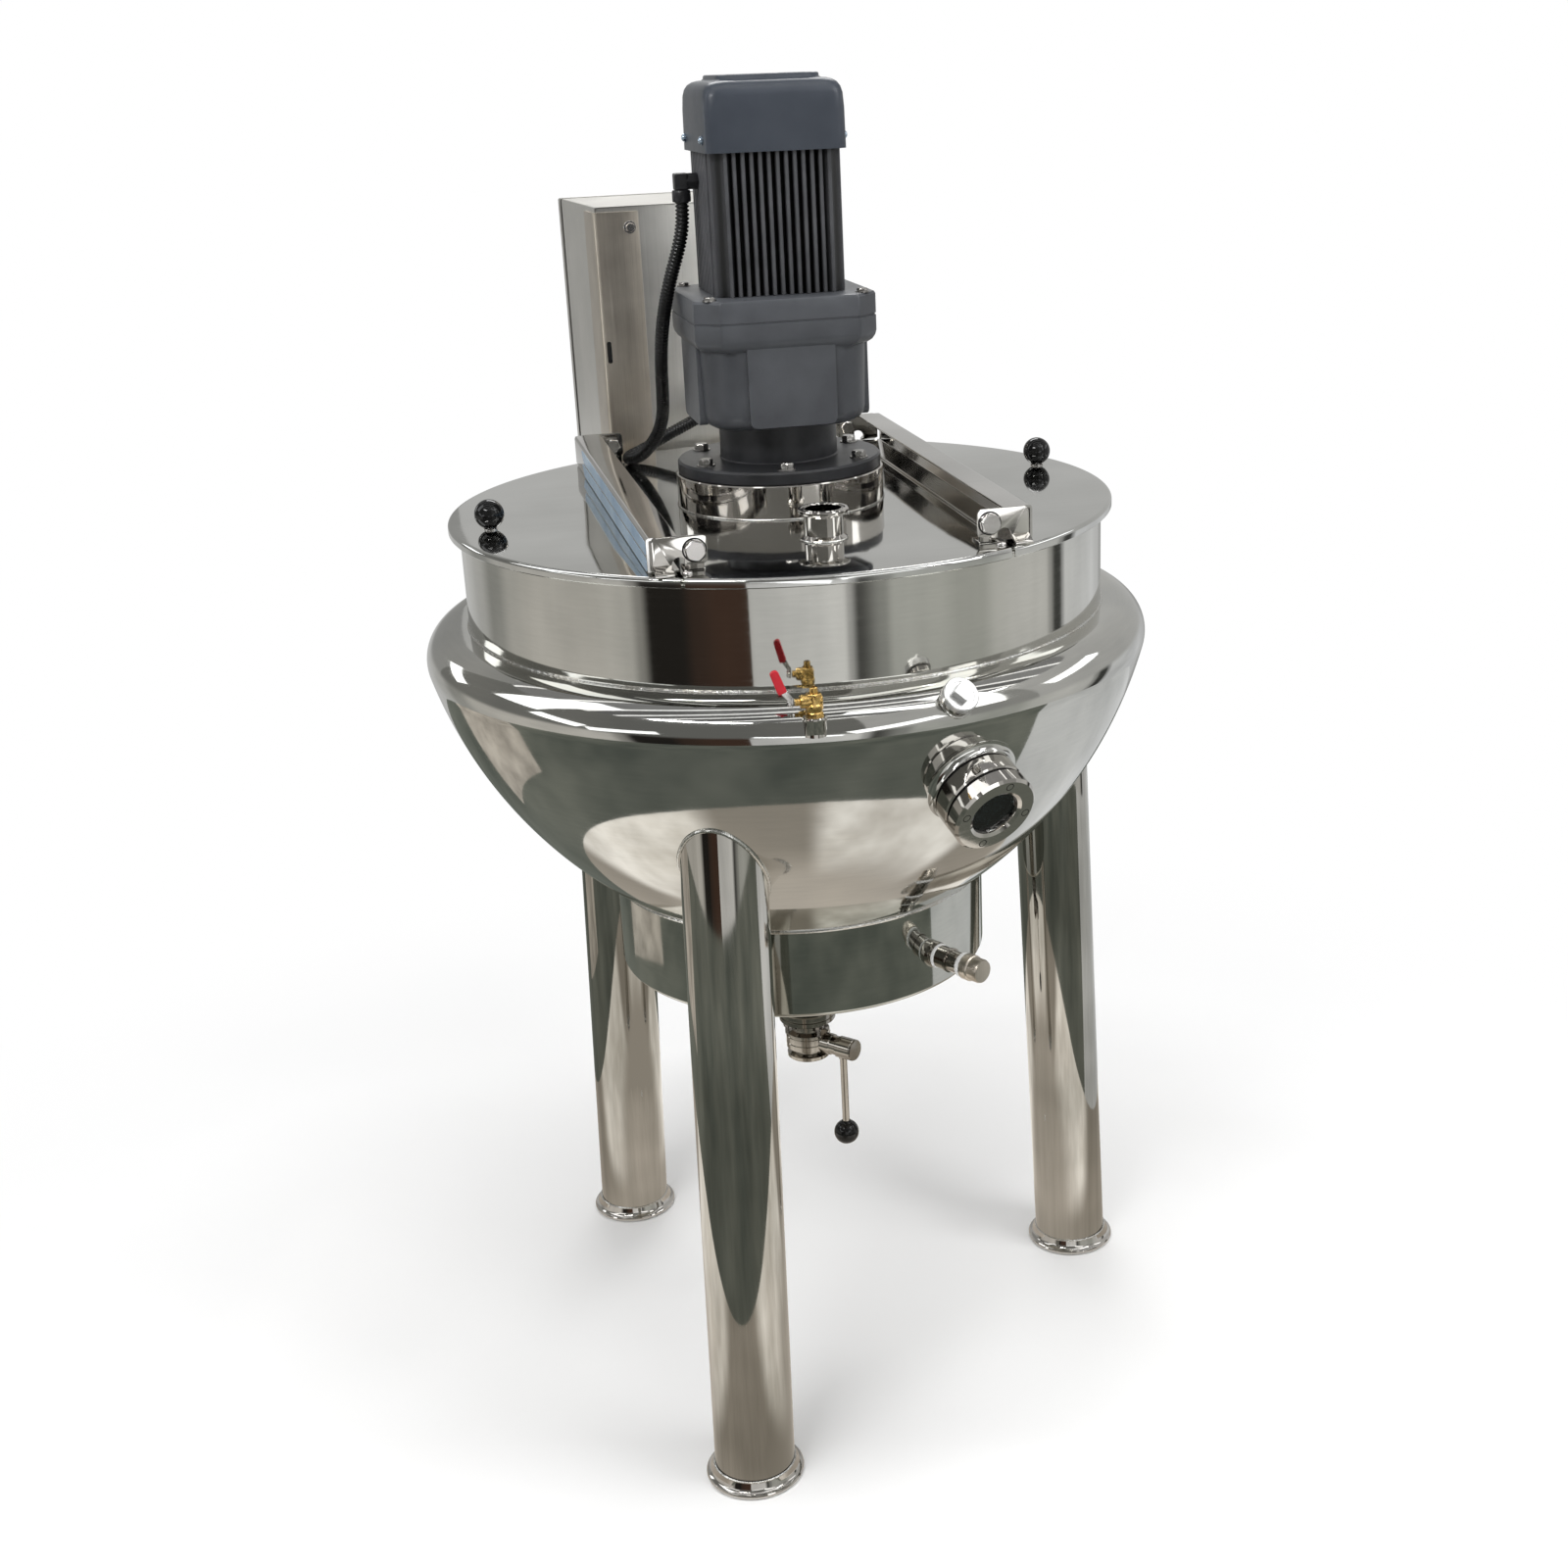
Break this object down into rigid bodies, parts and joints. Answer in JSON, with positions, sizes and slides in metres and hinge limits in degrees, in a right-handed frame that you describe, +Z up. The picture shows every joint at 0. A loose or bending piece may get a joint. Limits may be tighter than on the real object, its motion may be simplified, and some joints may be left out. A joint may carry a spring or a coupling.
{
  "type": "jacketed kettle",
  "caption": "Steam-jacketed stirred cooking kettle on splayed legs, with a two-flap lid, gearmotor, control box, sight glass and bottom outlet valve.",
  "frame": {"origin": "on the floor, under the middle of the machine's plan outline without the conduit", "axes": "+Z up, -Y towards the side with the sight glass, X across the two lid flaps"},
  "size_m": [1.0268, 1.3594, 1.882],
  "materials": {
    "polished_steel": "mirror-polished stainless steel",
    "satin_steel": "brushed stainless steel",
    "gear_paint": "dark grey satin paint",
    "black_plastic": "black gloss moulding",
    "brass": "bare machined brass",
    "red_plastic": "red moulding",
    "glass": "clear sight glass",
    "conduit_plastic": "black corrugated plastic"
  },
  "bodies": {
    "root": {"pot_wall": "polished_steel", "pot_bowl": "polished_steel", "pot_bottom": "polished_steel", "jacket_right": "polished_steel", "jacket_back": "polished_steel", "jacket_left": "polished_steel", "jacket_front": "polished_steel", "leg_front": "polished_steel", "leg_right": "polished_steel", "leg_back": "polished_steel", "feet": "polished_steel", "drum_wall": "polished_steel", "drum_base": "polished_steel", "lid_bridge": "polished_steel", "pedestal_ring": "polished_steel", "lid_ferrule": "polished_steel", "sight_body": "polished_steel", "outlet_pipe": "polished_steel", "valve_body": "polished_steel", "drain_nipple": "polished_steel", "filler_plug": "polished_steel", "hinge_lugs": "satin_steel", "agitator": "satin_steel", "box_body": "satin_steel", "box_posts": "satin_steel", "gearbox": "gear_paint", "motor": "gear_paint", "fan_cover": "gear_paint", "motor_gland": "black_plastic", "box_gland": "black_plastic", "cock_body": "brass", "sight_glass": "glass", "conduit": "conduit_plastic"},
    "flap_left": {"flap_left": "polished_steel", "channel_left": "polished_steel", "brackets_left": "polished_steel", "knob_left": "black_plastic"},
    "flap_right": {"flap_right": "polished_steel", "channel_right": "polished_steel", "brackets_right": "polished_steel", "knob_right": "black_plastic"},
    "handle": {"valve_handle": "polished_steel", "handle_ball": "black_plastic"},
    "lever": {"cock_lever": "red_plastic"},
    "door": {"box_door": "satin_steel"}
  },
  "joints": [
    {"name": "flap_left_hinge", "type": "hinge", "parent": "root", "child": "flap_left", "pos_m": [-0.188, -0.13047, 1.34], "axis": [0, 1, 0], "range_deg": [0, 100]},
    {"name": "flap_right_hinge", "type": "hinge", "parent": "root", "child": "flap_right", "pos_m": [0.188, -0.13047, 1.34], "axis": [0, -1, 0], "range_deg": [0, 100]},
    {"name": "valve_spindle", "type": "hinge", "parent": "root", "child": "handle", "pos_m": [0.03901, -0.1738, 0.461], "axis": [0.6691, -0.7431, 0], "range_deg": [0, 90]},
    {"name": "cock_pivot", "type": "hinge", "parent": "root", "child": "lever", "pos_m": [-0.09734, -0.63117, 1.17001], "axis": [1, 0, 0], "range_deg": [0, 90]},
    {"name": "door_hinge", "type": "hinge", "parent": "root", "child": "door", "pos_m": [0.06959, 0.66845, 1.45], "axis": [0, 0, -1], "range_deg": [0, 110]}
  ]
}
